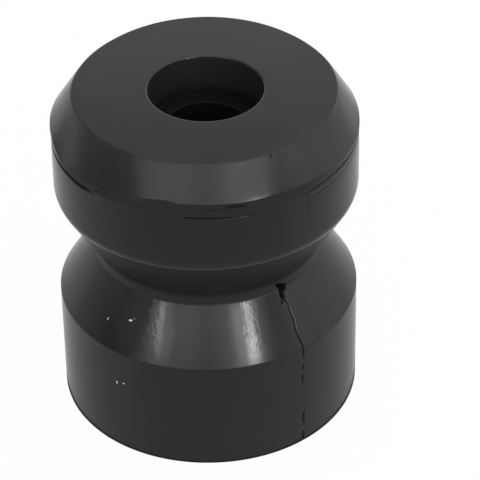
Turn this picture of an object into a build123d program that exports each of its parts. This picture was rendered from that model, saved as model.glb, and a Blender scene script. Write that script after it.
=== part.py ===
from build123d import *
import math
import os

# Rubber buffer: one solid rubber moulding with a V groove round its waist and a stepped hole
# down its middle, held by a bolt through its base.
# Sizes are in millimetres. Z runs up the axis, the origin is the middle of the flat base, and
# -Y is the front. Angles round the axis are counted from the front towards +X.

# Outside of the moulding, from the base up
outer_diameter = 75.0
base_band_height = 30.0
lower_flank_height = 13.3
waist_height = 2.6
upper_flank_height = 15.1
waist_diameter = 57.4
top_band_height = 18.0
chamfer_height = 8.2
chamfer_width = 5.5

# Stepped hole, from the top down
pocket_diameter = 28.4
pocket_depth = 10.8
well_diameter = 19.8
seat_thickness = 20.0  # rubber left under the bolt head
bolt_diameter = 8.0
bolt_clearance = 0.5  # room all round the bolt

# Roundings
waist_low_radius = 2.4
waist_high_radius = 5.2
waist_flat = 0.4  # straight wall that the two waist roundings always leave between them
rim_radius = 0.9
pocket_floor_radius = 0.3
well_edge_radius = 0.3
well_floor_radius = 1.0
outer_edge_radius = 0.5

# Marks that the mould leaves: a ring of flash where its lid shuts, a fine split line down two
# sides, and a small tear where one split line crosses the waist
flash_width = 0.7
flash_height = 0.22
split_angle = 39.3  # from the front to the split line, in degrees
split_width = 0.35
split_depth = 0.3
tear_width = 2.4
tear_length = 3.4
tear_depth = 0.9

# Sizes that follow from the ones above
outer_radius = outer_diameter / 2
pocket_radius = pocket_diameter / 2
well_radius = well_diameter / 2
bolt_hole_radius = bolt_diameter / 2 + bolt_clearance
waist_low_z = base_band_height + lower_flank_height
waist_high_z = waist_low_z + waist_height
groove_top_z = waist_high_z + upper_flank_height
groove_depth = (outer_diameter - waist_diameter) / 2
shoulder_z = groove_top_z + top_band_height
total_height = shoulder_z + chamfer_height
pocket_floor_z = total_height - pocket_depth

# How far each waist rounding reaches along the waist, and the share of both that its wall holds
waist_low_reach = waist_low_radius * math.tan(math.atan2(groove_depth, lower_flank_height) / 2)
waist_high_reach = waist_high_radius * math.tan(math.atan2(groove_depth, upper_flank_height) / 2)
waist_room = (waist_height - waist_flat) / (waist_low_reach + waist_high_reach)
waist_share = min(1, waist_room)


def turned(corners):
    """Turn a closed outline, given as (radius, height, rounding) corners, round the axis."""
    points = [(radius, height) for radius, height, rounding in corners]
    roundings = [rounding for radius, height, rounding in corners]
    outline = FilletPolyline(*points, radius=roundings, close=True)
    section = Plane.XZ * make_face(outline)
    return revolve(section, Axis.Z)


def outside_corners(inset):
    """Corners of the outside from the base to the top, moved towards the axis by inset."""
    rim = outer_radius - inset
    return [
        (rim, 0, outer_edge_radius),
        (rim, base_band_height, outer_edge_radius),
        (rim - groove_depth, waist_low_z, waist_low_radius * waist_share),
        (rim - groove_depth, waist_high_z, waist_high_radius * waist_share),
        (rim, groove_top_z, outer_edge_radius),
        (rim, shoulder_z, outer_edge_radius),
        (rim - chamfer_width, total_height, outer_edge_radius),
    ]


def make_body():
    """The moulding with its groove and its stepped hole."""
    hole_corners = [
        (pocket_radius, total_height, rim_radius),
        (pocket_radius, pocket_floor_z, pocket_floor_radius),
        (well_radius, pocket_floor_z, well_edge_radius),
        (well_radius, seat_thickness, well_floor_radius),
        (bolt_hole_radius, seat_thickness, 0),
        (bolt_hole_radius, 0, 0),
    ]
    return turned(outside_corners(0) + hole_corners)


def make_flash():
    """The ring of flash, a low ridge round the edge between top band and chamfer."""
    foot = outer_radius - flash_width
    crest = outer_radius + flash_height
    low_z = shoulder_z - flash_width
    return turned([
        (foot, low_z, 0),
        (outer_radius, low_z, 0),
        (crest, shoulder_z - flash_width / 3, 0),
        (outer_radius, shoulder_z + flash_height / 3, 0),
        (foot, shoulder_z, 0),
    ])


def make_split_lines():
    """Two thin fins that cut the split line into the outside, from base to shoulder."""
    core_corners = [(0, -outer_edge_radius, 0)]
    core_corners += [(radius, height, 0) for radius, height, rounding in outside_corners(split_depth)]
    core_corners += [(0, total_height, 0)]
    core = turned(core_corners)
    fin_height = shoulder_z - flash_width - outer_edge_radius
    fin = Box(split_width, outer_diameter * 2, fin_height)
    fin = Pos(0, 0, fin_height / 2 + outer_edge_radius) * fin
    return Rot(0, 0, split_angle) * fin - core


def make_tear():
    """A three-cornered nick in the flank under the waist, at the front split line."""
    flank = math.atan2(groove_depth, lower_flank_height)
    half_width = tear_width / 2
    tear_top_reach = outer_radius - groove_depth
    face = Plane(
        origin=(0, -tear_top_reach, waist_low_z),
        x_dir=(1, 0, 0),
        z_dir=(0, -math.cos(flank), math.sin(flank)),
    )
    nick = Polyline((-half_width, 0), (half_width, 0), (0, -tear_length), close=True)
    cutter = extrude(face * make_face(nick), tear_depth, both=True)
    return Rot(0, 0, split_angle) * cutter


buffer_body = make_body() + make_flash()
buffer_body -= make_split_lines()
buffer_body -= make_tear()

os.makedirs("parts", exist_ok=True)
export_step(buffer_body, "parts/buffer_body.step")
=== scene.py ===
import math

import bpy
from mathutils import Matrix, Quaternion, Vector


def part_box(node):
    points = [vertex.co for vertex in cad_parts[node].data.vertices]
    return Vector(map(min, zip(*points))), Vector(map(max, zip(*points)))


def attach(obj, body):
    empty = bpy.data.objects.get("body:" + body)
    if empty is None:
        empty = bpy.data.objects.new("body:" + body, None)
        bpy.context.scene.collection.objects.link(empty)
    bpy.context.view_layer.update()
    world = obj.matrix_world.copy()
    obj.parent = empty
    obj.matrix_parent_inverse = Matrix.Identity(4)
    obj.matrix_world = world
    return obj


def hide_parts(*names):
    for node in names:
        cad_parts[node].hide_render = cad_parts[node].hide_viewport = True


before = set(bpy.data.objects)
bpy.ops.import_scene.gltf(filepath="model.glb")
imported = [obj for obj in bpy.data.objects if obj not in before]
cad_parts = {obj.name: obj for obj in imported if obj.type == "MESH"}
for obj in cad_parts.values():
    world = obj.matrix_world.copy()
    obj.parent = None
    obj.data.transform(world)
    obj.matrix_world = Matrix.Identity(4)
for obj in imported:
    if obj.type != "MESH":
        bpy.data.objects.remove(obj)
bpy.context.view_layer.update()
millimetre = 0.001
print("frame loaded, nodes:", sorted(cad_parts))


# General helpers

def addNode(tree, kind, inputs=None, **settings):
    # a given input may be a number, a socket, or a node whose first output is meant
    node = tree.nodes.new(kind)
    for name, value in settings.items():
        setattr(node, name, value)
    for name, value in (inputs or {}).items():
        if isinstance(value, bpy.types.Node):
            tree.links.new(value.outputs[0], node.inputs[name])
        elif isinstance(value, bpy.types.NodeSocket):
            tree.links.new(value, node.inputs[name])
        else:
            node.inputs[name].default_value = value
    return node


def linearColour(hexColour):
    # sRGB hex to the linear values that Blender's sockets take
    channels = [int(hexColour[place:place + 2], 16) / 255 for place in (1, 3, 5)]
    linear = [c / 12.92 if c <= 0.04045 else ((c + 0.055) / 1.055) ** 2.4 for c in channels]
    return (*linear, 1.0)


def newMaterial(name):
    material = bpy.data.materials.new(name)
    material.use_nodes = True
    material.node_tree.nodes.clear()
    return material


def newObject(name, data):
    made = bpy.data.objects.new(name, data)
    bpy.context.scene.collection.objects.link(made)
    return made


def onSide(degreesFromFront, radius, height):
    # a point round the axis, in the units of radius and height; the front is -Y
    turn = math.radians(degreesFromFront)
    return Vector((radius * math.sin(turn), -radius * math.cos(turn), height))


def span(ends):
    # the two ends of a range, under the names that a Map Range node has for them
    return {"From Min": ends[0], "From Max": ends[1]}


def newTree(name, inputs):
    # a Geometry Nodes tree with named inputs, and its input node
    tree = bpy.data.node_groups.new(name, "GeometryNodeTree")
    tree.interface.new_socket(name="Geometry", in_out="OUTPUT", socket_type="NodeSocketGeometry")
    tree.interface.new_socket(name="Geometry", in_out="INPUT", socket_type="NodeSocketGeometry")
    for label, value in inputs.items():
        kind = {int: "NodeSocketInt", float: "NodeSocketFloat"}.get(type(value), "NodeSocketMaterial")
        tree.interface.new_socket(name=label, in_out="INPUT", socket_type=kind)
    return tree, tree.nodes.new("NodeGroupInput")


def growMesh(source, tree, inputs, name):
    # run the tree on the source and keep the result as a plain mesh object
    modifier = source.modifiers.new(tree.name, "NODES")
    modifier.node_group = tree
    for item in tree.interface.items_tree:
        if item.in_out == "INPUT" and item.name in inputs:
            modifier[item.identifier] = inputs[item.name]
    graph = bpy.context.evaluated_depsgraph_get()
    mesh = bpy.data.meshes.new_from_object(source.evaluated_get(graph), depsgraph=graph)
    source.modifiers.remove(modifier)
    bpy.data.objects.remove(source)
    mesh.name = name
    return newObject(name, mesh)


# The moulded body, in millimetres and degrees

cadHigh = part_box("buffer_body")[1]
topRoom = 0.03  # left for the unevenness under the top of the solid's box
bodyForm = {
    "totalHeight": cadHigh[2] / millimetre - topRoom,
    "largestReach": 37.7,  # the solid's box ends just outside this
    "outerRadius": 37.5,
    "baseBandHeight": 30.0,
    "lowerFlankHeight": 13.3,
    "flankBulge": 0.2,  # how far the lower flank swells at its middle
    "waistHeight": 2.6,
    "upperFlankHeight": 15.1,
    "waistReach": 28.7,  # from the axis to the bottom of the groove
    "topBandHeight": 18.4,
    "topBandRadius": 37.66,
    "partingHeight": 75.5,  # where the mould's lid meets its body
    "shoulderRadius": 37.34,
    "chamferWidth": 5.5,
    "chamferBulge": 0.08,
    "waistLowRadius": 0.9,
    "waistHighRadius": 5.2,
    "lipRadius": 4.5,
    "baseEdgeRadius": 0.25,
    "edgeRadius": 0.35,
    "flankRadius": 240.0,  # the long curves of the lower flank and of the chamfer
    "chamferRadius": 200.0,
    "pocketRadius": 14.1,
    "pocketDepth": 10.8,
    "rimRadius": 0.45,
    "pocketShift": (0.36, 0.2),  # the mould's core stood a little off centre
    "pocketFloorRadius": 0.04,
    "wellEdgeRadius": 0.04,
    "wellRadius": 9.9,
    "seatHeight": 20.0,
    "wellFloorRadius": 1.0,
    "boltHoleRadius": 4.5,
    "bulgeLift": 0.7,  # share of a bulge that also lifts its middle
    "topEdgeOut": 0.16,  # how far the top's edge stands outside the plain chamfer
    "bandTaper": 0.09,  # how much the top band draws in above the parting line
    "flashOut": 0.08,  # how far the band stands out under the shoulder
    "partingReach": 1.1,  # the fine rows for the parting line reach this far above it
    "underReach": 3.3,  # and this far below it, past the finer line
    "flashReach": 1.0,  # those for the flash start this far under the shoulder
    "rimMargin": 0.12,  # a row this far from the rim's rounding keeps the rim crisp
    "mergeDistance": 0.01,  # closes the seams of the turned skin
}
bodyMarks = {
    "Steps Around": 336,
    "Crowding": 0.76,  # how much closer the steps stand at the split lines
    "Split Angle": 39.0,
    "Flash Height": 0.3,
    "Shoulder Wear": 0.5,
    "Under Line": 1.9,  # how far the finer line runs under the parting line
    "Wave Height": 0.16,
    "Wave Length": 26.0,
    "Wave Detail": 1.0,
    "Seed": 7.0,
}


def outlineCorners(form):
    # radius, height, rounding, steps round it, steps to the next, then the shares in bodyShares
    outer = form["outerRadius"]
    top = form["totalHeight"]
    base = form["baseBandHeight"]
    waist = form["waistReach"]
    waistLow = base + form["lowerFlankHeight"]
    waistHigh = waistLow + form["waistHeight"]
    lip = waistHigh + form["upperFlankHeight"]
    shoulder = lip + form["topBandHeight"]
    ledge = top - form["pocketDepth"]
    band = form["topBandRadius"]
    parting = form["partingHeight"]
    edge = form["edgeRadius"]
    pocket = form["pocketRadius"]
    rim = form["rimRadius"]
    flankOut = (outer + waist) / 2 + form["flankBulge"]
    flankMiddle = (base + waistLow) / 2 + form["flankBulge"] * form["bulgeLift"]
    chamferOut = form["shoulderRadius"] - form["chamferWidth"] / 2 + form["chamferBulge"]
    chamferMiddle = (shoulder + top) / 2 + form["chamferBulge"] * form["bulgeLift"]
    topEdge = form["shoulderRadius"] - form["chamferWidth"] + form["topEdgeOut"]
    return [
        (form["boltHoleRadius"], 0, 0, 0, 6, 0, 0, 0, 0),
        (outer, 0, form["baseEdgeRadius"], 4, 34, 1, 0, 0, 0),
        (outer, base, edge, 5, 4, 1, 0, 0, 1),
        (flankOut, flankMiddle, form["flankRadius"], 30, 4, 1, 0, 0, 1),
        (waist, waistLow, form["waistLowRadius"], 8, 6, 1, 0, 1, 1),
        (waist, waistHigh, form["waistHighRadius"], 10, 20, 1, 0, 1, 1),
        (band, lip, form["lipRadius"], 8, 12, 1, 0, 0, 1),
        (band, parting - form["underReach"], 0, 0, 26, 1, 0, 0, 1),
        (band - form["bandTaper"], parting + form["partingReach"], 0, 0, 6, 1, 0, 0, 1),
        (form["shoulderRadius"] + form["flashOut"], shoulder - form["flashReach"], 0, 0, 8, 1, 0, 0, 1),
        (form["shoulderRadius"], shoulder, edge, 5, 3, 1, 0, 0, 1),
        (chamferOut, chamferMiddle, form["chamferRadius"], 20, 3, 1, 0, 0, 1),
        (topEdge, top, edge, 5, 1, 1, 0, 0, 0.6),
        (topEdge - edge, top, 0, 0, 12, 1, 0, 0, 0.6),
        (pocket + rim + form["rimMargin"], top, 0, 0, 1, 0, 0, 0, 0.3),
        (pocket, top, rim, 8, 1, 0, 0, 0, 0.3),
        (pocket, top - rim - form["rimMargin"], 0, 0, 12, 0, 1, 0, 0),
        (pocket, ledge, form["pocketFloorRadius"], 2, 6, 0, 1, 0, 0),
        (form["wellRadius"], ledge, form["wellEdgeRadius"], 2, 10, 0, 1, 0, 0),
        (form["wellRadius"], form["seatHeight"], form["wellFloorRadius"], 5, 2, 0, 1, 0, 0),
        (form["boltHoleRadius"], form["seatHeight"], 0, 0, 5, 0, 1, 0, 0),
    ]


def roundedCorner(here, before, after, rounding, steps):
    # points of the arc that rounds a corner, from the side before it to the side after it
    toBefore = (before - here).normalized()
    toAfter = (after - here).normalized()
    opening = toBefore.angle(toAfter)
    reach = rounding / math.tan(opening / 2)
    centre = here + (toBefore + toAfter).normalized() * rounding / math.sin(opening / 2)
    start = here + toBefore * reach - centre
    finish = here + toAfter * reach - centre
    sweep = math.atan2(start.x * finish.y - start.y * finish.x, start.dot(finish))
    arc = []
    for step in range(steps + 1):
        turn = sweep * step / steps
        x = start.x * math.cos(turn) - start.y * math.sin(turn)
        y = start.x * math.sin(turn) + start.y * math.cos(turn)
        arc.append(centre + Vector((x, y)))
    return arc


bodyShares = ("outsideShare", "holeShare", "grooveShare", "waveShare")


def makeOutline(form):
    # the half section as a row of loose points that carry their shares of each mark
    corners = outlineCorners(form)
    spots = [Vector(corner[:2]) for corner in corners]
    arcs = []
    for place, corner in enumerate(corners):
        if corner[2]:
            after = spots[(place + 1) % len(spots)]
            arcs.append(roundedCorner(spots[place], spots[place - 1], after, corner[2], corner[3]))
        else:
            arcs.append([spots[place]])
    points, shares = [], []
    for place, corner in enumerate(corners):
        start = arcs[place][-1]
        finish = arcs[(place + 1) % len(arcs)][0]
        leg = [start.lerp(finish, step / corner[4]) for step in range(1, corner[4])]
        points += arcs[place] + leg
        shares += [corner[5:]] * (len(arcs[place]) + len(leg))
    mesh = bpy.data.meshes.new("bodyOutline")
    mesh.from_pydata([(point.x, 0, point.y) for point in points], [], [])
    for column, label in enumerate(bodyShares):
        layer = mesh.attributes.new(label, "FLOAT", "POINT")
        layer.data.foreach_set("value", [share[column] for share in shares])
    return newObject("bodyOutline", mesh)


def turnOutline(tree, given):
    # the outline turned round the axis as a closed skin, still in millimetres
    size = addNode(tree, "GeometryNodeAttributeDomainSize", {"Geometry": given.outputs["Geometry"]})
    rows = size.outputs["Point Count"]
    across = addNode(tree, "ShaderNodeMath", {0: given.outputs["Steps Around"], 1: 1.0})
    along = addNode(tree, "ShaderNodeMath", {0: rows, 1: 1.0})
    # the grid is one unit wide and stands on its middle
    grid = addNode(tree, "GeometryNodeMeshGrid", {"Vertices X": across, "Vertices Y": along})
    where = addNode(tree, "GeometryNodeInputPosition")
    part = addNode(tree, "ShaderNodeSeparateXYZ", {0: where})
    around = addNode(tree, "ShaderNodeMath", {0: part.outputs["X"], 1: 0.5})
    down = addNode(tree, "ShaderNodeMath", {0: part.outputs["Y"], 1: 0.5})
    rowSpot = addNode(tree, "ShaderNodeMath", {0: down, 1: rows}, operation="MULTIPLY")
    rowRound = addNode(tree, "ShaderNodeMath", {0: rowSpot}, operation="ROUND")
    row = addNode(tree, "ShaderNodeMath", {0: rowRound, 1: rows}, operation="MODULO")
    rowIndex = addNode(tree, "FunctionNodeFloatToInt", {0: row}, rounding_mode="ROUND")
    outline = addNode(tree, "GeometryNodeSampleIndex", {
        "Geometry": given.outputs["Geometry"], "Value": where, "Index": rowIndex,
    }, data_type="FLOAT_VECTOR")
    outlinePart = addNode(tree, "ShaderNodeSeparateXYZ", {0: outline})
    # even turns, then crowded towards the two split lines
    evenTurn = addNode(tree, "ShaderNodeMath", {0: around, 1: math.tau}, operation="MULTIPLY")
    splitTurn = addNode(tree, "ShaderNodeMath", {0: given.outputs["Split Angle"]}, operation="RADIANS")
    fromSplit = addNode(tree, "ShaderNodeMath", {0: evenTurn, 1: splitTurn}, operation="SUBTRACT")
    doubled = addNode(tree, "ShaderNodeMath", {0: fromSplit, 1: 2.0}, operation="MULTIPLY")
    pull = addNode(tree, "ShaderNodeMath", {0: doubled}, operation="SINE")
    halfPull = addNode(tree, "ShaderNodeMath", {0: pull, 1: -0.5}, operation="MULTIPLY")
    turn = addNode(tree, "ShaderNodeMath", {
        0: halfPull, 1: given.outputs["Crowding"], 2: evenTurn,
    }, operation="MULTIPLY_ADD")
    sine = addNode(tree, "ShaderNodeMath", {0: turn}, operation="SINE")
    cosine = addNode(tree, "ShaderNodeMath", {0: turn}, operation="COSINE")
    x = addNode(tree, "ShaderNodeMath", {0: outlinePart.outputs["X"], 1: sine}, operation="MULTIPLY")
    y = addNode(tree, "ShaderNodeMath", {0: outlinePart.outputs["X"], 1: cosine}, operation="MULTIPLY")
    front = addNode(tree, "ShaderNodeMath", {0: y, 1: -1.0}, operation="MULTIPLY")
    spot = addNode(tree, "ShaderNodeCombineXYZ", {"X": x, "Y": front, "Z": outlinePart.outputs["Z"]})
    skin = grid.outputs["Mesh"]
    for label in bodyShares:
        share = addNode(tree, "GeometryNodeInputNamedAttribute", {"Name": label}, data_type="FLOAT")
        rowShare = addNode(tree, "GeometryNodeSampleIndex", {
            "Geometry": given.outputs["Geometry"], "Value": share, "Index": rowIndex,
        }, data_type="FLOAT")
        skin = addNode(tree, "GeometryNodeStoreNamedAttribute", {
            "Geometry": skin, "Name": label, "Value": rowShare,
        }, data_type="FLOAT", domain="POINT")
    placed = addNode(tree, "GeometryNodeSetPosition", {"Geometry": skin, "Position": spot})
    return addNode(tree, "GeometryNodeMergeByDistance", {
        "Geometry": placed, "Distance": bodyForm["mergeDistance"],
    })


def aroundAxis(tree, where):
    # degrees from the front towards +X, height and radius of a position
    part = addNode(tree, "ShaderNodeSeparateXYZ", {0: where})
    back = addNode(tree, "ShaderNodeMath", {0: part.outputs["Y"], 1: -1.0}, operation="MULTIPLY")
    turn = addNode(tree, "ShaderNodeMath", {0: part.outputs["X"], 1: back}, operation="ARCTAN2")
    degrees = addNode(tree, "ShaderNodeMath", {0: turn}, operation="DEGREES")
    flat = addNode(tree, "ShaderNodeCombineXYZ", {"X": part.outputs["X"], "Y": part.outputs["Y"]})
    radius = addNode(tree, "ShaderNodeVectorMath", {0: flat}, operation="LENGTH").outputs["Value"]
    return degrees, part.outputs["Z"], radius


def lineShare(tree, degrees, height, line, soft=0.5):
    # 1 on a short line drawn on the outside, 0 away from it; soft is how much of its width fades
    startAngle, startHeight, endAngle, endHeight, radius, width = line
    perDegree = math.radians(radius)
    fromStart = addNode(tree, "ShaderNodeMath", {0: degrees, 1: startAngle}, operation="SUBTRACT")
    turn = addNode(tree, "ShaderNodeMath", {0: fromStart, 1: -180.0, 2: 180.0}, operation="WRAP")
    across = addNode(tree, "ShaderNodeMath", {0: turn, 1: perDegree}, operation="MULTIPLY")
    along = addNode(tree, "ShaderNodeMath", {0: height, 1: startHeight}, operation="SUBTRACT")
    spot = addNode(tree, "ShaderNodeCombineXYZ", {"X": across, "Y": along})
    run = ((endAngle - startAngle) * perDegree, endHeight - startHeight, 0)
    reach = addNode(tree, "ShaderNodeVectorMath", {0: spot, 1: run}, operation="DOT_PRODUCT")
    length = run[0] ** 2 + run[1] ** 2
    share = addNode(tree, "ShaderNodeMath", {
        0: reach.outputs["Value"], 1: 1 / length,
    }, operation="MULTIPLY", use_clamp=True)
    nearest = addNode(tree, "ShaderNodeVectorMath", {0: run, "Scale": share}, operation="SCALE")
    away = addNode(tree, "ShaderNodeVectorMath", {0: spot, 1: nearest}, operation="DISTANCE")
    return addNode(tree, "ShaderNodeMapRange", {
        "Value": away.outputs["Value"], "To Min": 1.0, "To Max": 0.0,
        "From Min": width / 2 * (1 - soft), "From Max": width / 2 * (1 + soft),
    })


def byDirection(tree, degrees, spots):
    # a value that changes round the body, given as (degrees from the front, value) pairs
    low = min(value for angle, value in spots)
    high = max(value for angle, value in spots)
    place = addNode(tree, "ShaderNodeMapRange", {"Value": degrees, "From Min": -180.0, "From Max": 180.0})
    graph = addNode(tree, "ShaderNodeFloatCurve", {"Value": place})
    curve = graph.mapping.curves[0]
    levels = [((angle + 180) / 360, (value - low) / (high - low)) for angle, value in spots]
    curve.points[0].location = levels[0]
    curve.points[1].location = levels[-1]
    for level in levels[1:-1]:
        curve.points.new(*level)
    for point in curve.points:
        point.handle_type = "VECTOR"
    graph.mapping.update()
    return addNode(tree, "ShaderNodeMapRange", {"Value": graph, "To Min": low, "To Max": high})


# start and end of each cut (degrees from the front and height), its radius, width and depth
splitCuts = [
    (39.0, 0.3, 39.0, 3.0, 37.5, 0.4, 0.45), (39.0, 6.2, 39.0, 9.6, 37.5, 0.38, 0.4),
    (38.5, 19.3, 38.5, 21.6, 37.5, 0.38, 0.4), (38.6, 23.6, 38.6, 24.9, 37.5, 0.34, 0.4),
    (38.9, 27.1, 38.9, 29.6, 37.5, 0.4, 0.45), (38.9, 29.6, 38.75, 31.7, 36.8, 0.38, 0.45),
    (38.75, 31.7, 38.35, 32.8, 36.0, 0.34, 0.4), (38.35, 32.8, 38.4, 34.2, 35.2, 0.34, 0.35),
    (38.4, 34.2, 39.2, 36.0, 34.0, 0.32, 0.3), (39.2, 36.0, 39.2, 38.2, 32.7, 0.3, 0.26),
    (39.2, 38.2, 39.65, 39.3, 31.6, 0.3, 0.26), (39.65, 39.3, 39.2, 40.2, 30.9, 0.3, 0.3),
    (39.2, 40.2, 38.6, 41.1, 30.3, 0.36, 0.4),
    (40.4, 70.0, 40.4, 77.2, 37.6, 0.3, 0.06),
    (29.2, 86.85, 29.9, 86.85, 31.9, 0.3, 0.25),
    (-141.0, 0.3, -141.0, 29.6, 37.5, 0.4, 0.25), (-141.0, 30.4, -140.6, 41.5, 33.0, 0.4, 0.25),
    (-141.0, 62.0, -141.0, 77.0, 37.6, 0.35, 0.15),
]
tearCuts = [
    (36.4, 44.8, 41.9, 43.4, 28.8, 0.6, 0.8), (37.8, 44.15, 38.3, 44.0, 28.8, 1.0, 1.0),
    (40.5, 43.55, 41.2, 43.4, 28.8, 1.0, 1.0), (38.3, 43.9, 38.9, 42.1, 29.0, 0.75, 0.8),
    (41.0, 43.3, 38.9, 41.7, 29.2, 0.75, 0.8), (39.5, 43.3, 38.8, 41.9, 29.1, 1.4, 0.8),
    (38.5, 41.9, 38.6, 41.0, 29.8, 0.55, 0.6), (37.5, 40.95, 36.7, 40.35, 30.4, 0.5, 0.6),
]
bandCreases = [
    (0.4, 78.1, 7.6, 77.8, 37.5, 0.3, 0.1), (9.0, 78.6, 14.5, 78.3, 37.5, 1.1, 0.12),
    (-6.5, 75.9, 8.4, 75.5, 37.6, 0.45, 0.2), (8.4, 75.5, 17.2, 75.5, 37.6, 0.4, 0.16),
]
# the tables from here on give (degrees from the front, value) pairs, with the values in millimetres or
# as shares; first how far the parting line sits above its plain height
partingRise = [
    (-180, 0.0), (-50, -0.1), (-42, 0.6), (-30, 0.5), (-10, 0.4), (18, 0.0), (30, 0.6), (42, 1.2),
    (75, 1.8), (120, 1.0), (180, 0.0),
]
# how deep it is pressed in
partingDepth = [
    (-180, 0.1), (-100, 0.15), (-88, 0.55), (-50, 0.5), (-42, 0.0), (38, 0.0), (43, 0.2), (75, 0.25),
    (120, 0.1), (180, 0.1),
]
# a second, finer line a little lower on the right
underDepth = [(-180, 0.0), (40, 0.0), (43, 0.1), (80, 0.1), (90, 0.0), (180, 0.0)]
# how far the shoulder is rubbed round
shoulderWear = [
    (-180, 0.3), (-90, 0.0), (-80, 0.0), (-66, 0.3), (-36, 0.6), (-30, 0.3), (-25, 0.0), (24, 0.0),
    (36, 0.3), (70, 0.5), (84, 0.3), (120, 0.3), (180, 0.3),
]
# how far the shoulder sits above or below its plain height
shoulderRise = [
    (-180, -0.3), (-90, -0.3), (-77, -0.5), (-66, -2.5), (-48, -2.6), (-30, -0.3), (-22, 0.4),
    (-15, 0.75), (-12, 0.75), (-10, 0.15), (0, 0.1), (7, 0.0), (15, -0.1), (25, 0.0), (40, -0.3),
    (53, -0.4), (66, -1.2), (84, -1.3), (95, -0.5), (180, -0.3),
]
# how far the shoulder and the top's edge stand out past the plain form
topReach = [
    (-180, 0.55), (-160, 0.4), (-135, 0.0), (-110, 0.1), (-95, 0.25), (-80, 0.25), (-70, 0.1), (-50, 0.0),
    (40, 0.0), (60, 0.15), (80, 0.3), (110, 0.3), (125, 0.05), (140, 0.05), (160, 0.4), (180, 0.55),
]
# how much of the flash is left
flashShare = [
    (-180, 0.5), (-110, 0.6), (-92, 1.0), (-76, 1.0), (-66, 0.5), (-62, 0.0), (-29, 0.0), (-27, 0.4),
    (-20, 0.4), (-18, 0.0), (60, 0.0), (80, 0.4), (120, 0.7), (180, 0.5),
]
# where each mark grows or fades, in millimetres above the base or off its own middle
markFades = {
    "fullShade": 0.2,  # a cut this deep gets the full painted shade
    "grooveEdge": (0.15, 0.55),
    "grooveShade": 3.0,  # how much painted shade the parting groove gets for each millimetre of its depth
    "underEdge": (0.05, 0.35),
    "stripFoot": (0.0, 0.3),
    "stripTop": (79.3, 79.8),
    "wearFoot": (75.9, 79.1),
    "wearTop": (85.5, 79.2),
    "wearPower": 1.3,
    "flashCrest": 78.95,
    "flashEdge": (0.05, 0.4),
    "riseFoot": (76.0, 79.2),
    "riseTop": (79.6, 86.5),
    "growthFoot": (76.5, 79.0),
    "shiftFoot": (30.0, 60.0),
    "shiftReach": (20.0, 15.0),  # the distances from the axis between which the pocket's shift sets in
}


def cutMarks(tree, degrees, height):
    # cuts that are short lines: the split line, the tear and the creases, with their depth and their painted
    # shade
    cutDepth, cutShade = 0.0, 0.0
    for *line, depth in splitCuts + tearCuts + bandCreases:
        share = lineShare(tree, degrees, height, line)
        pressed = addNode(tree, "ShaderNodeMath", {0: share, 1: depth}, operation="MULTIPLY")
        shade = addNode(tree, "ShaderNodeMath", {
            0: share, 1: min(1.0, depth / markFades["fullShade"]),
        }, operation="MULTIPLY")
        cutDepth = addNode(tree, "ShaderNodeMath", {0: cutDepth, 1: pressed}, operation="MAXIMUM")
        cutShade = addNode(tree, "ShaderNodeMath", {0: cutShade, 1: shade}, operation="MAXIMUM")
    return cutDepth, cutShade


def partingMarks(tree, given, degrees, height):
    # the parting line, a fine groove where the lid met the mould, with a finer line under it and a
    # duller strip above it: how deep it is, how much painted shade it gets and where the strip lies
    partingLevel = addNode(tree, "ShaderNodeMath", {
        0: byDirection(tree, degrees, partingRise), 1: bodyForm["partingHeight"],
    })
    offParting = addNode(tree, "ShaderNodeMath", {0: height, 1: partingLevel}, operation="SUBTRACT")
    offSize = addNode(tree, "ShaderNodeMath", {0: offParting}, operation="ABSOLUTE")
    grooveShare = addNode(tree, "ShaderNodeMapRange", {
        "Value": offSize, **span(markFades["grooveEdge"]), "To Min": 1.0, "To Max": 0.0,
    })
    groovePressed = addNode(tree, "ShaderNodeMath", {
        0: grooveShare, 1: byDirection(tree, degrees, partingDepth),
    }, operation="MULTIPLY")
    offUnder = addNode(tree, "ShaderNodeMath", {0: offParting, 1: given.outputs["Under Line"]})
    underSize = addNode(tree, "ShaderNodeMath", {0: offUnder}, operation="ABSOLUTE")
    underShare = addNode(tree, "ShaderNodeMapRange", {
        "Value": underSize, **span(markFades["underEdge"]), "To Min": 1.0, "To Max": 0.0,
    })
    underPressed = addNode(tree, "ShaderNodeMath", {
        0: underShare, 1: byDirection(tree, degrees, underDepth),
    }, operation="MULTIPLY")
    depth = addNode(tree, "ShaderNodeMath", {0: groovePressed, 1: underPressed}, operation="MAXIMUM")
    shade = addNode(tree, "ShaderNodeMath", {0: depth, 1: markFades["grooveShade"]}, operation="MULTIPLY")
    aboveParting = addNode(tree, "ShaderNodeMapRange", {
        "Value": offParting, **span(markFades["stripFoot"]),
    })
    belowShoulder = addNode(tree, "ShaderNodeMapRange", {
        "Value": height, **span(markFades["stripTop"]), "To Min": 1.0, "To Max": 0.0,
    })
    strip = addNode(tree, "ShaderNodeMath", {0: aboveParting, 1: belowShoulder}, operation="MULTIPLY")
    return depth, shade, strip


def wornShoulder(tree, given, degrees, height):
    # the shoulder is rubbed round on both sides, and keeps its edge only in front
    wornBelow = addNode(tree, "ShaderNodeMapRange", {"Value": height, **span(markFades["wearFoot"])})
    wornAbove = addNode(tree, "ShaderNodeMapRange", {"Value": height, **span(markFades["wearTop"])})
    near = addNode(tree, "ShaderNodeMath", {0: wornBelow, 1: wornAbove}, operation="MINIMUM")
    share = addNode(tree, "ShaderNodeMath", {0: near, 1: markFades["wearPower"]}, operation="POWER")
    worn = addNode(tree, "ShaderNodeMath", {
        0: share, 1: byDirection(tree, degrees, shoulderWear),
    }, operation="MULTIPLY")
    return addNode(tree, "ShaderNodeMath", {0: worn, 1: given.outputs["Shoulder Wear"]}, operation="MULTIPLY")


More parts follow.
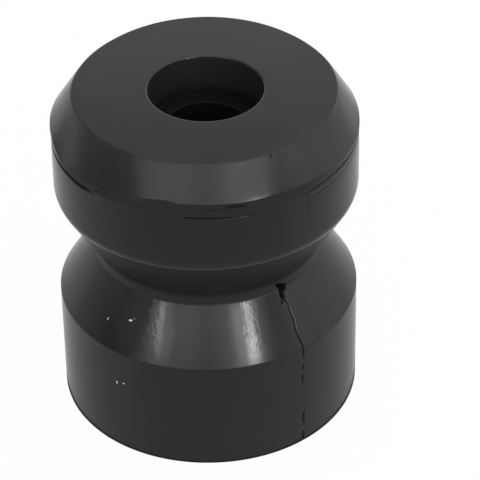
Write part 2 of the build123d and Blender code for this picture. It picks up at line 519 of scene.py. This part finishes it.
def proudFlash(tree, given, degrees, height):
    # flash stands proud at the shoulder along part of its way round
    offCrest = addNode(tree, "ShaderNodeMath", {
        0: height, 1: markFades["flashCrest"],
    }, operation="SUBTRACT")
    offSize = addNode(tree, "ShaderNodeMath", {0: offCrest}, operation="ABSOLUTE")
    ridge = addNode(tree, "ShaderNodeMapRange", {
        "Value": offSize, **span(markFades["flashEdge"]), "To Min": 1.0, "To Max": 0.0,
    }, interpolation_type="SMOOTHSTEP")
    flash = addNode(tree, "ShaderNodeMath", {
        0: ridge, 1: byDirection(tree, degrees, flashShare),
    }, operation="MULTIPLY")
    return addNode(tree, "ShaderNodeMath", {0: flash, 1: given.outputs["Flash Height"]}, operation="MULTIPLY")


def unevenBands(tree, given, where):
    # rubber shrinks unevenly as it cools, so no band is perfectly round
    waveScale = addNode(tree, "ShaderNodeMath", {0: 1.0, 1: given.outputs["Wave Length"]}, operation="DIVIDE")
    waveNoise = addNode(tree, "ShaderNodeTexNoise", {
        "Vector": where, "W": given.outputs["Seed"], "Scale": waveScale,
        "Detail": given.outputs["Wave Detail"],
    }, noise_dimensions="4D")
    evenNoise = addNode(tree, "ShaderNodeMath", {0: waveNoise, 1: 0.5}, operation="SUBTRACT")
    return addNode(tree, "ShaderNodeMath", {
        0: evenNoise, 1: given.outputs["Wave Height"],
    }, operation="MULTIPLY")


def shoulderLift(tree, degrees, height):
    # the shoulder itself wanders up and down where flash was trimmed
    nearShoulder = addNode(tree, "ShaderNodeMapRange", {"Value": height, **span(markFades["riseFoot"])})
    farShoulder = addNode(tree, "ShaderNodeMapRange", {
        "Value": height, **span(markFades["riseTop"]), "To Min": 1.0, "To Max": 0.0,
    })
    share = addNode(tree, "ShaderNodeMath", {0: nearShoulder, 1: farShoulder}, operation="MULTIPLY")
    return addNode(tree, "ShaderNodeMath", {
        0: share, 1: byDirection(tree, degrees, shoulderRise),
    }, operation="MULTIPLY")


def pocketOffset(tree, height, radius):
    # the pocket and its rim stand a little off the axis
    insideRim = addNode(tree, "ShaderNodeMapRange", {"Value": radius, **span(markFades["shiftReach"])})
    upperPart = addNode(tree, "ShaderNodeMapRange", {"Value": height, **span(markFades["shiftFoot"])})
    share = addNode(tree, "ShaderNodeMath", {0: insideRim, 1: upperPart}, operation="MULTIPLY")
    return addNode(tree, "ShaderNodeVectorMath", {
        0: (*bodyForm["pocketShift"], 0.0), "Scale": share,
    }, operation="SCALE")


def keptInside(tree, skin):
    # nothing may pass the solid's own box
    part = addNode(tree, "ShaderNodeSeparateXYZ", {0: addNode(tree, "GeometryNodeInputPosition")})
    flat = addNode(tree, "ShaderNodeCombineXYZ", {"X": part.outputs["X"], "Y": part.outputs["Y"]})
    reach = addNode(tree, "ShaderNodeVectorMath", {0: flat}, operation="LENGTH").outputs["Value"]
    room = addNode(tree, "ShaderNodeMath", {0: bodyForm["largestReach"], 1: reach}, operation="DIVIDE")
    share = addNode(tree, "ShaderNodeMath", {0: room, 1: 1.0}, operation="MINIMUM")
    kept = addNode(tree, "ShaderNodeCombineXYZ", {
        "X": addNode(tree, "ShaderNodeMath", {0: part.outputs["X"], 1: share}, operation="MULTIPLY"),
        "Y": addNode(tree, "ShaderNodeMath", {0: part.outputs["Y"], 1: share}, operation="MULTIPLY"),
        "Z": addNode(tree, "ShaderNodeMath", {0: part.outputs["Z"], 1: 0.0}, operation="MAXIMUM"),
    })
    return addNode(tree, "GeometryNodeSetPosition", {"Geometry": skin, "Position": kept})


def markBody(tree, given, skin):
    # press the marks that the mould left into the skin, and note for the material where they are
    normal = addNode(tree, "GeometryNodeInputNormal")
    where = addNode(tree, "GeometryNodeInputPosition")
    degrees, height, radius = aroundAxis(tree, where)
    outside = addNode(tree, "GeometryNodeInputNamedAttribute", {"Name": "outsideShare"}, data_type="FLOAT")
    waveShare = addNode(tree, "GeometryNodeInputNamedAttribute", {"Name": "waveShare"}, data_type="FLOAT")

    cutDepth, cutShade = cutMarks(tree, degrees, height)
    grooveDepth, grooveShade, strip = partingMarks(tree, given, degrees, height)
    depth = addNode(tree, "ShaderNodeMath", {0: cutDepth, 1: grooveDepth}, operation="MAXIMUM")
    shade = addNode(tree, "ShaderNodeMath", {0: cutShade, 1: grooveShade}, operation="MAXIMUM")
    # painted shade for the cuts and the parting groove, and the duller strip's share, noted for the material
    for label, share in (("cutShadeShare", shade), ("stripShare", strip)):
        value = addNode(tree, "ShaderNodeMath", {0: share, 1: outside}, operation="MULTIPLY")
        skin = addNode(tree, "GeometryNodeStoreNamedAttribute", {
            "Geometry": skin, "Name": label, "Value": value,
        }, data_type="FLOAT", domain="POINT")

    # in or out along the skin's normal
    worn = wornShoulder(tree, given, degrees, height)
    flash = proudFlash(tree, given, degrees, height)
    proud = addNode(tree, "ShaderNodeMath", {0: flash, 1: worn}, operation="SUBTRACT")
    proud = addNode(tree, "ShaderNodeMath", {0: proud, 1: depth}, operation="SUBTRACT")
    proud = addNode(tree, "ShaderNodeMath", {0: proud, 1: outside}, operation="MULTIPLY")
    wave = unevenBands(tree, given, where)
    shift = addNode(tree, "ShaderNodeMath", {0: wave, 1: waveShare, 2: proud}, operation="MULTIPLY_ADD")
    push = addNode(tree, "ShaderNodeVectorMath", {0: normal, "Scale": shift}, operation="SCALE")

    # up or down at the shoulder
    lift = shoulderLift(tree, degrees, height)
    rise = addNode(tree, "ShaderNodeMath", {0: lift, 1: outside}, operation="MULTIPLY")
    raised = addNode(tree, "ShaderNodeCombineXYZ", {"Z": rise})
    push = addNode(tree, "ShaderNodeVectorMath", {0: push, 1: raised})

    # away from the axis, because the top is not quite round
    part = addNode(tree, "ShaderNodeSeparateXYZ", {0: where})
    flat = addNode(tree, "ShaderNodeCombineXYZ", {"X": part.outputs["X"], "Y": part.outputs["Y"]})
    outward = addNode(tree, "ShaderNodeVectorMath", {0: flat}, operation="NORMALIZE")
    upperEdge = addNode(tree, "ShaderNodeMapRange", {"Value": height, **span(markFades["growthFoot"])})
    growth = addNode(tree, "ShaderNodeMath", {
        0: upperEdge, 1: byDirection(tree, degrees, topReach),
    }, operation="MULTIPLY")
    growth = addNode(tree, "ShaderNodeMath", {0: growth, 1: outside}, operation="MULTIPLY")
    bigger = addNode(tree, "ShaderNodeVectorMath", {0: outward, "Scale": growth}, operation="SCALE")
    push = addNode(tree, "ShaderNodeVectorMath", {0: push, 1: bigger})

    push = addNode(tree, "ShaderNodeVectorMath", {0: push, 1: pocketOffset(tree, height, radius)})
    moved = addNode(tree, "GeometryNodeSetPosition", {"Geometry": skin, "Offset": push})
    return keptInside(tree, moved)


def makeBody(material):
    inputs = {**bodyMarks, "Material": material}
    tree, given = newTree("turnedRubberBody", inputs)
    skin = turnOutline(tree, given)
    marked = markBody(tree, given, skin)
    smooth = addNode(tree, "GeometryNodeSetShadeSmooth", {"Geometry": marked})
    metres = addNode(tree, "GeometryNodeTransform", {
        "Geometry": smooth, "Scale": (millimetre, millimetre, millimetre),
    })
    whole = addNode(tree, "GeometryNodeRealizeInstances", {"Geometry": metres})
    dressed = addNode(tree, "GeometryNodeSetMaterial", {
        "Geometry": whole, "Material": given.outputs["Material"],
    })
    addNode(tree, "NodeGroupOutput", {"Geometry": dressed})
    return growMesh(makeOutline(bodyForm), tree, inputs, "rubber_body")


# Materials

rubberLook = {
    "darkColour": "#212121",
    "paleColour": "#252525",
    # painted shade: the near black that the cuts and the parting groove are darkened to
    "cutShadeColour": "#030303",
    "holeColour": "#252525",
    # painted shade: the pocket's wall darkens to this towards the ledge, and the well below it is this dark
    "ledgeShadeColour": "#121212",
    "dustColour": "#f2f2f2",
    "smudgeSize": 14.0,  # millimetres between smudges of bloom
    "smudgeNoise": {"Detail": 4.0, "Roughness": 0.55},
    "grainSize": 0.35,  # moulded grain, drawn a little coarser than it is so that it shows
    "grainNoise": {"Detail": 3.0},
    "rippleSize": 5.0,
    "rippleNoise": {"Detail": 2.0},
    "creaseSize": 1.3,  # the skin drew into fine creases where it left the mould
    "creaseNoise": {"Detail": 2.0, "Distortion": 0.6},
    "creaseStretch": (1.0, 1.0, 0.45),  # they run more up and down than across
    "creaseFade": 0.6,  # share of a creased stretch's width over which it fades
    "speckFade": 0.3,  # the same for a speck of dust
    "creaseHeight": 0.05,
    "grainHeight": 0.02,
    "grainStrength": 0.02,
    "rippleHeight": 0.1,
    "rippleStrength": 0.1,
    "smudgeSpread": (0.3, 0.7),  # the part of the smudges over which the gloss changes
    "roughness": (0.12, 0.16),
    "stripRoughness": 0.2,
    "grooveRoughness": 0.4,
    "holeRoughness": 0.42,
    "cutRoughness": 0.5,
    "ledgeRoughness": 0.35,
    "darkening": (3.0, 0.1),  # painted shade darkens the pocket's wall between these heights above the ledge
    "outsideReach": 20.0,  # dust lies only further from the axis than this
    "holeShade": 0.4,  # painted shade: how much of its gloss the bottom of the hole loses
    "specularLevel": (0.5, 0.08),  # on the open skin, and where a cut has its full painted shade
    "refraction": 1.4,
}
# specks of dust: start and end (degrees from the front and height), radius, width
dustSpecks = [
    (-45.8, 35.2, -45.8, 35.6, 34.0, 0.2),
    (-35.2, 37.3, -34.2, 37.4, 33.0, 0.33),
    (-33.2, 37.9, -33.0, 38.0, 32.6, 0.12),
    (-37.0, 20.0, -37.0, 20.5, 37.5, 0.34),
    (-34.0, 20.8, -33.7, 20.8, 37.5, 0.3),
]
# where the skin is creased: start and end (degrees from the front and height), radius, width
skinCreases = [
    (-25.0, 42.5, -21.5, 31.5, 33.5, 4.6),
    (19.5, 43.0, 19.0, 35.5, 32.0, 4.2),
]


def makeRubber():
    # natural rubber filled with carbon black, moulded in a polished steel mould: neutral black,
    # a soft gloss that sharpens at grazing angles, faint smudges of bloom and shallow ripples
    look = rubberLook
    material = newMaterial("mouldedBlackRubber")
    tree = material.node_tree
    spot = addNode(tree, "ShaderNodeTexCoord").outputs["Object"]
    inMillimetres = addNode(tree, "ShaderNodeVectorMath", {
        0: spot, "Scale": 1 / millimetre,
    }, operation="SCALE")
    degrees, height, radius = aroundAxis(tree, inMillimetres)
    cut = addNode(tree, "ShaderNodeAttribute", attribute_name="cutShadeShare").outputs["Fac"]
    strip = addNode(tree, "ShaderNodeAttribute", attribute_name="stripShare").outputs["Fac"]
    groove = addNode(tree, "ShaderNodeAttribute", attribute_name="grooveShare").outputs["Fac"]
    hole = addNode(tree, "ShaderNodeAttribute", attribute_name="holeShare").outputs["Fac"]
    dust = 0.0
    for speck in dustSpecks:
        share = lineShare(tree, degrees, height, speck, look["speckFade"])
        dust = addNode(tree, "ShaderNodeMath", {0: dust, 1: share}, operation="MAXIMUM")
    outside = addNode(tree, "ShaderNodeMath", {
        0: radius, 1: look["outsideReach"],
    }, operation="GREATER_THAN")
    dust = addNode(tree, "ShaderNodeMath", {0: dust, 1: outside}, operation="MULTIPLY")

    smudge = addNode(tree, "ShaderNodeTexNoise", {
        "Vector": spot, "Scale": 1 / (look["smudgeSize"] * millimetre), **look["smudgeNoise"],
    })
    colour = addNode(tree, "ShaderNodeMix", {
        "Factor": smudge, 6: linearColour(look["darkColour"]), 7: linearColour(look["paleColour"]),
    }, data_type="RGBA")
    # the hole's wall is duller than the outside; painted shade darkens it towards the ledge and in the well,
    # where little light gets
    ledgeHeight = bodyForm["totalHeight"] - bodyForm["pocketDepth"]
    darkening = [ledgeHeight + above for above in look["darkening"]]
    deep = addNode(tree, "ShaderNodeMapRange", {"Value": height, **span(darkening)})
    holeColour = addNode(tree, "ShaderNodeMix", {
        "Factor": deep, 6: linearColour(look["holeColour"]), 7: linearColour(look["ledgeShadeColour"]),
    }, data_type="RGBA")
    colour = addNode(tree, "ShaderNodeMix", {
        "Factor": hole, 6: colour.outputs[2], 7: holeColour.outputs[2],
    }, data_type="RGBA")
    # painted shade: the cuts and the parting groove are darkened towards near black
    colour = addNode(tree, "ShaderNodeMix", {
        "Factor": cut, 6: colour.outputs[2], 7: linearColour(look["cutShadeColour"]),
    }, data_type="RGBA")
    colour = addNode(tree, "ShaderNodeMix", {
        "Factor": dust, 6: colour.outputs[2], 7: linearColour(look["dustColour"]),
    }, data_type="RGBA")
    rough = addNode(tree, "ShaderNodeMapRange", {
        "Value": smudge, **span(look["smudgeSpread"]),
        "To Min": look["roughness"][0], "To Max": look["roughness"][1],
    })
    dull = addNode(tree, "ShaderNodeMath", {0: hole, 1: deep}, operation="MULTIPLY")
    shares = (
        (strip, "stripRoughness"), (groove, "grooveRoughness"), (hole, "holeRoughness"),
        (dull, "ledgeRoughness"), (cut, "cutRoughness"),
    )
    for share, label in shares:
        rough = addNode(tree, "ShaderNodeMix", {0: share, 2: rough, 3: look[label]}, data_type="FLOAT")
    grain = addNode(tree, "ShaderNodeTexNoise", {
        "Vector": spot, "Scale": 1 / (look["grainSize"] * millimetre), **look["grainNoise"],
    })
    ripples = addNode(tree, "ShaderNodeTexNoise", {
        "Vector": spot, "Scale": 1 / (look["rippleSize"] * millimetre), **look["rippleNoise"],
    })
    grainBump = addNode(tree, "ShaderNodeBump", {
        "Height": grain, "Strength": look["grainStrength"], "Distance": look["grainHeight"] * millimetre,
    })
    rippleBump = addNode(tree, "ShaderNodeBump", {
        "Height": ripples, "Strength": look["rippleStrength"],
        "Distance": look["rippleHeight"] * millimetre, "Normal": grainBump,
    })
    creased = 0.0
    for line in skinCreases:
        share = lineShare(tree, degrees, height, line, look["creaseFade"])
        creased = addNode(tree, "ShaderNodeMath", {0: creased, 1: share}, operation="MAXIMUM")
    drawn = addNode(tree, "ShaderNodeVectorMath", {
        0: spot, 1: look["creaseStretch"],
    }, operation="MULTIPLY")
    creaseNoise = addNode(tree, "ShaderNodeTexNoise", {
        "Vector": drawn, "Scale": 1 / (look["creaseSize"] * millimetre), **look["creaseNoise"],
    })
    creaseHeight = addNode(tree, "ShaderNodeMath", {0: creaseNoise, 1: creased}, operation="MULTIPLY")
    creaseBump = addNode(tree, "ShaderNodeBump", {
        "Height": creaseHeight, "Strength": 1.0, "Distance": look["creaseHeight"] * millimetre,
        "Normal": rippleBump,
    })
    # painted shade: the gloss is lowered in the cuts and at the bottom of the hole, where shade falls
    shaded = addNode(tree, "ShaderNodeMath", {0: dull, 1: look["holeShade"]}, operation="MULTIPLY")
    hidden = addNode(tree, "ShaderNodeMath", {0: cut, 1: shaded}, operation="MAXIMUM")
    specular = addNode(tree, "ShaderNodeMapRange", {
        "Value": hidden, "To Min": look["specularLevel"][0], "To Max": look["specularLevel"][1],
    })
    shader = addNode(tree, "ShaderNodeBsdfPrincipled", {
        "Base Color": colour.outputs[2], "Roughness": rough, "Normal": creaseBump,
        "IOR": look["refraction"], "Specular IOR Level": specular,
    })
    addNode(tree, "ShaderNodeOutputMaterial", {"Surface": shader})
    return material


rubber = makeRubber()
body = makeBody(rubber)
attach(body, "root")
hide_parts("buffer_body")
print("body made:", len(body.data.polygons), "faces")


# Studio

studio = {
    "floorSize": 6.0,  # metres
    "floorColour": "#e6e6e6",
    "floorGlow": 0.98,  # share of plain white in the floor as the camera sees it
    "floorGlossGlow": (0.38, 0.74),  # glow of the paper in the gloss, before and behind the buffer
    "floorGlossSpan": (-0.12, 0.12),  # how far before and behind, in metres
    "footShade": (0.0376, 0.0386),  # painted shadow: the paper's glow in the gloss sets in between these distances from the axis
    "cameraAt": (13.48, -547.03, 449.77),  # millimetres
    "cameraLooksAt": (8.1, 0.0, 41.4),
    "cameraRoll": -0.89,  # degrees
    "lens": 203.7,
    "sensorWidth": 36.0,
    "clipStart": 0.01,
}
tent = {
    "radius": 1.3,  # metres
    "middle": 0.045,  # height of its middle above the floor
    "directions": [-180, -150, -120, *range(-90, 91, 15), 120, 150],  # degrees from the front
    # glow of the cloth at each direction, by degrees above the floor
    "glow": {
        0: [
            1.0, .81, .72, .28, 0, 0, 0, 0, .12,
            .11, .04, 0, .13, .02, 0, .91, .82, 1.0,
        ],
        14: [
            1.5, .8, .59, .46, .12, .22, 1.62, .92, .59,
            .28, 1.29, 2.71, .58, .74, 1.17, 1.17, .9, 1.5,
        ],
        26: [
            1.5, .85, 1.06, .59, .27, .38, .88, 1.5, 1.54,
            1, 1.63, 1.53, 1.33, .51, 1.14, 1.12, .99, 1.3,
        ],
        38: [
            .38, 0, .31, .16, .21, .72, 1.59, 1.77, 1.94,
            1.47, 2.02, 3, 2.5, 1.53, 1.46, .93, .86, 1.03,
        ],
        54: [
            1.64, .94, .5, .13, .04, .21, .46, .97, 1.04,
            1.09, .95, .76, .7, .55, .58, .94, 1.26, 1.38,
        ],
    },
    "crown": 1.92,
}
# cards that glow in the gloss alone: each row goes from one end (degrees from the front, height) to
# the other and gives its glow, and a card is the sheet between its rows
cards = {
    "rightGlow": [
        (17.5, 138, 41.5, 138, 1.2), (17.5, 165, 41.5, 165, 1.2), (17.0, 180, 43.5, 180, 1.2),
        (17.0, 205, 43.5, 205, 1.2),
    ],
    "rightStrip": [
        (20.8, 138, 38.3, 138, 2.6), (21.2, 153, 38.8, 153, 2.6), (21.6, 165, 38.5, 165, 2.6),
        (21.4, 171, 39.6, 171, 2.7), (20.8, 180, 44.0, 180, 3.0), (20.8, 189, 45.0, 189, 3.2),
        (20.8, 205, 43.0, 205, 2.9),
    ],
    "rightCore": [
        (28.1, 138, 36.0, 138, 17.5), (28.1, 147, 35.9, 147, 18), (28.3, 155, 36.3, 155, 19.5),
        (28.2, 161, 36.3, 161, 20), (28.4, 166, 35.9, 166, 17), (28.6, 171, 36.0, 171, 7),
        (29.8, 177, 37.4, 177, 6), (30.8, 183, 38.0, 183, 6), (31.3, 189, 37.0, 189, 9),
        (30.4, 195, 36.8, 195, 19), (30.2, 205, 36.8, 205, 19),
    ],
    "leftGlow": [
        (-48.5, 138, -28, 138, 1.5), (-49, 159, -27, 159, 1.5), (-48.5, 176, -25, 176, 1.5),
        (-46.7, 187, -30, 187, 1.5), (-46.7, 200, -31, 200, 1.5),
    ],
    "leftStrip": [
        (-36.6, 138, -33.6, 138, 4), (-36.6, 148, -33.4, 148, 3.2), (-37.0, 154, -33.6, 154, 3.2),
        (-39.0, 159.5, -34.2, 159.5, 5.6), (-40.6, 165, -35.2, 165, 6.6), (-41.8, 170.5, -36.8, 170.5, 4.6),
        (-41.4, 176, -36.2, 176, 7.8), (-40.6, 182, -35.9, 182, 3.2), (-41.4, 188, -36.7, 188, 4.8),
        (-41.4, 200, -37.0, 200, 5.6),
    ],
    "frontGlow": [
        (-27, 138, 19, 138, 0.22), (-27, 166, 19, 166, 0.22), (-27, 174, 19, 174, 0.28),
        (-27, 205, 19, 205, 0.28),
    ],
    "leftPanel": [
        (-90, 100, -90, 220, 0.05), (-66, 105, -66, 250, 0.25), (-57, 120, -57, 270, 0.2),
        (-56, 190, -56, 270, 0.5), (-40, 205, -40, 280, 0.35), (-28, 210, -28, 290, 0.12),
        (-22, 210, -22, 290, 0.0),
    ],
    "rightPanel": [
        (39, 208, 39, 280, 0.0), (43, 208, 43, 280, 0.5), (54, 192, 54, 265, 0.55), (68, 170, 68, 235, 0.35),
        (80, 155, 80, 210, 0.0),
    ],
}
cardDistance = 0.3  # metres from the axis


def makeFloor():
    # matt white paper floor: it keeps the shadow under the buffer and is white elsewhere
    half = studio["floorSize"] / 2
    mesh = bpy.data.meshes.new("paperFloor")
    corners = [(-half, -half, 0), (half, -half, 0), (half, half, 0), (-half, half, 0)]
    mesh.from_pydata(corners, [], [(0, 1, 2, 3)])
    material = newMaterial("mattWhitePaper")
    tree = material.node_tree
    paper = addNode(tree, "ShaderNodeBsdfDiffuse", {"Color": linearColour(studio["floorColour"])})
    path = addNode(tree, "ShaderNodeLightPath")
    mirrored = addNode(tree, "ShaderNodeMath", {
        0: path.outputs["Is Glossy Ray"], 1: path.outputs["Is Transmission Ray"],
    }, operation="MAXIMUM")
    where = addNode(tree, "ShaderNodeTexCoord").outputs["Object"]
    place = addNode(tree, "ShaderNodeSeparateXYZ", {0: where})
    openGlow = addNode(tree, "ShaderNodeMapRange", {
        "Value": place.outputs["Y"], **span(studio["floorGlossSpan"]),
        "To Min": studio["floorGlossGlow"][0], "To Max": studio["floorGlossGlow"][1],
    })
    # painted shadow: in the gloss the paper is dark where the buffer's foot keeps the light off it
    away = addNode(tree, "ShaderNodeVectorMath", {0: where}, operation="LENGTH").outputs["Value"]
    openShare = addNode(tree, "ShaderNodeMapRange", {"Value": away, **span(studio["footShade"])})
    paperGlow = addNode(tree, "ShaderNodeMath", {0: openGlow, 1: openShare}, operation="MULTIPLY")
    strength = addNode(tree, "ShaderNodeMix", {0: mirrored, 2: 1.0, 3: paperGlow}, data_type="FLOAT")
    glow = addNode(tree, "ShaderNodeEmission", {"Strength": strength})
    share = addNode(tree, "ShaderNodeMath", {
        0: path.outputs["Is Camera Ray"], 1: studio["floorGlow"], 2: mirrored,
    }, operation="MULTIPLY_ADD")
    mixed = addNode(tree, "ShaderNodeMixShader", {0: share, 1: paper, 2: glow})
    addNode(tree, "ShaderNodeOutputMaterial", {"Surface": mixed})
    mesh.materials.append(material)
    newObject("paperFloor", mesh)


def makeWorld():
    # plain white, which only the camera sees past the tent
    world = bpy.data.worlds.new("paleStudio")
    bpy.context.scene.world = world
    world.use_nodes = True
    tree = world.node_tree
    tree.nodes.clear()
    background = addNode(tree, "ShaderNodeBackground", {"Strength": 1.0})
    addNode(tree, "ShaderNodeOutputWorld", {"Surface": background})


def makeTent():
    # a round light tent whose cloth glows unevenly: it gives the rubber its soft reflections
    directions = tent["directions"]
    count = len(directions)
    points, glows = [], []
    for rise, row in tent["glow"].items():
        # the lowest row stands on the floor
        for direction, glow in zip(directions, row):
            reach = tent["radius"] * math.cos(math.radians(rise))
            height = tent["radius"] * math.sin(math.radians(rise)) + (tent["middle"] if rise else 0)
            points.append(onSide(direction, reach, height))
            glows.append(glow)
    crown = len(points)
    points.append((0, 0, tent["radius"] + tent["middle"]))
    glows.append(tent["crown"])
    faces = []
    for start in range(0, crown, count):
        for place in range(count):
            after = (place + 1) % count
            if start + count < crown:
                upper = start + count
                faces.append((start + place, start + after, upper + after, upper + place))
            else:
                faces.append((start + place, start + after, crown))
    mesh = bpy.data.meshes.new("lightTent")
    mesh.from_pydata(points, [], faces)
    mesh.attributes.new("glow", "FLOAT", "POINT").data.foreach_set("value", glows)
    material = newMaterial("glowingTentCloth")
    tree = material.node_tree
    glow = addNode(tree, "ShaderNodeAttribute", attribute_name="glow")
    cloth = addNode(tree, "ShaderNodeEmission", {"Strength": glow.outputs["Fac"]})
    addNode(tree, "ShaderNodeOutputMaterial", {"Surface": cloth})
    mesh.materials.append(material)
    holder = newObject("lightTent", mesh)
    holder.visible_camera = False


def makeCards():
    for name, rows in cards.items():
        points, glows = [], []
        for startAngle, startHeight, endAngle, endHeight, glow in rows:
            points.append(onSide(startAngle, cardDistance, startHeight * millimetre))
            points.append(onSide(endAngle, cardDistance, endHeight * millimetre))
            glows += [glow, glow]
        faces = [(place, place + 1, place + 3, place + 2) for place in range(0, len(points) - 2, 2)]
        mesh = bpy.data.meshes.new(name)
        mesh.from_pydata(points, [], faces)
        mesh.attributes.new("glow", "FLOAT", "POINT").data.foreach_set("value", glows)
        material = newMaterial("glowing" + name[0].upper() + name[1:])
        tree = material.node_tree
        glow = addNode(tree, "ShaderNodeAttribute", attribute_name="glow")
        light = addNode(tree, "ShaderNodeEmission", {"Strength": glow.outputs["Fac"]})
        clear = addNode(tree, "ShaderNodeBsdfTransparent")
        both = addNode(tree, "ShaderNodeAddShader", {0: light, 1: clear})
        addNode(tree, "ShaderNodeOutputMaterial", {"Surface": both})
        mesh.materials.append(material)
        holder = newObject(name, mesh)
        holder.visible_camera = False
        holder.visible_diffuse = False


def makeCamera():
    camera = bpy.data.cameras.new("camera")
    camera.lens = studio["lens"]
    camera.sensor_width = studio["sensorWidth"]
    camera.clip_start = studio["clipStart"]
    holder = newObject("camera", camera)
    holder.location = Vector(studio["cameraAt"]) * millimetre
    aim = Vector(studio["cameraLooksAt"]) * millimetre
    roll = Quaternion((0, 0, 1), math.radians(studio["cameraRoll"]))
    holder.rotation_mode = "QUATERNION"
    holder.rotation_quaternion = (aim - holder.location).to_track_quat("-Z", "Y") @ roll
    bpy.context.scene.camera = holder


makeFloor()
makeWorld()
makeTent()
makeCards()
makeCamera()
bpy.context.scene.view_settings.view_transform = "Standard"
print("studio made:", len(cards), "cards of light")
